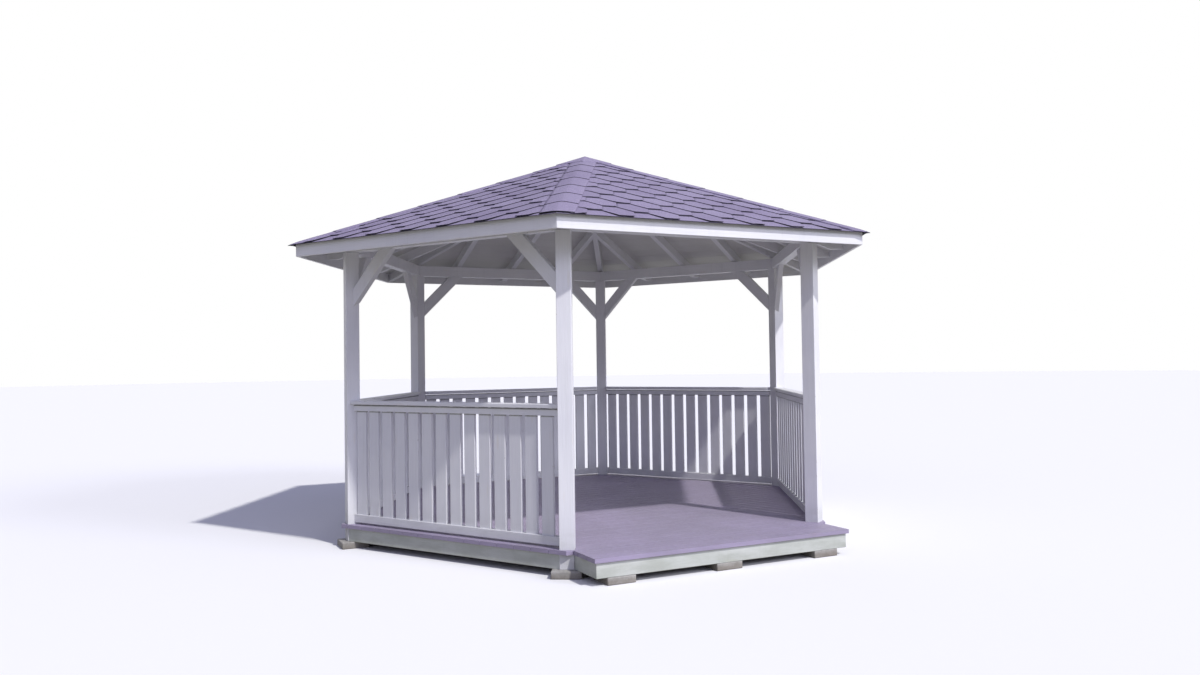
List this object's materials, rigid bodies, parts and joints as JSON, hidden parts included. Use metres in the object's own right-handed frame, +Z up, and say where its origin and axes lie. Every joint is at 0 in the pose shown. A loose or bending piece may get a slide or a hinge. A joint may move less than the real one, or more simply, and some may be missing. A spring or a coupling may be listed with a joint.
{
  "type": "hexagonal garden gazebo",
  "caption": "Open hexagonal timber garden gazebo with a low shingled roof, knee-braced posts, slatted railings and one open entrance side.",
  "frame": {"origin": "on the ground under the middle of the floor", "axes": "+Z up; the open entrance side faces -Y; +X is to the right of someone looking in through the entrance, towards a corner post"},
  "size_m": [4.9284, 4.2682, 3.1462],
  "materials": {
    "white_paint": "weathered white paint on planed timber",
    "floor_paint": "worn grey-lavender floor paint",
    "bare_timber": "unpainted, weathered",
    "roof_felt": "purple-grey mineral granules on bitumen felt",
    "concrete": "cast concrete"
  },
  "bodies": {
    "root": {"apex_cap": "roof_felt", "common_rafters": "white_paint", "deck_floor": "floor_paint", "fascia_back": "white_paint", "fascia_back_left": "white_paint", "fascia_back_right": "white_paint", "fascia_front": "white_paint", "fascia_front_left": "white_paint", "fascia_front_right": "white_paint", "floor_joists": "bare_timber", "foundation_pads": "concrete", "handrails": "white_paint", "hip_caps": "roof_felt", "hip_rafters": "white_paint", "king_block": "white_paint", "knee_braces": "white_paint", "post_back_left": "white_paint", "post_back_right": "white_paint", "post_front_left": "white_paint", "post_front_right": "white_paint", "post_left": "white_paint", "post_right": "white_paint", "railing_back": "white_paint", "railing_back_left": "white_paint", "railing_back_right": "white_paint", "railing_front_left": "white_paint", "railing_front_right": "white_paint", "rim_joists": "white_paint", "ring_beam_back": "white_paint", "ring_beam_back_left": "white_paint", "ring_beam_back_right": "white_paint", "ring_beam_front": "white_paint", "ring_beam_front_left": "white_paint", "ring_beam_front_right": "white_paint", "roof_boards_back": "white_paint", "roof_boards_back_left": "white_paint", "roof_boards_back_right": "white_paint", "roof_boards_front": "white_paint", "roof_boards_front_left": "white_paint", "roof_boards_front_right": "white_paint", "shingles_back": "roof_felt", "shingles_back_left": "roof_felt", "shingles_back_right": "roof_felt", "shingles_front": "roof_felt", "shingles_front_left": "roof_felt", "shingles_front_right": "roof_felt"}
  },
  "joints": []
}
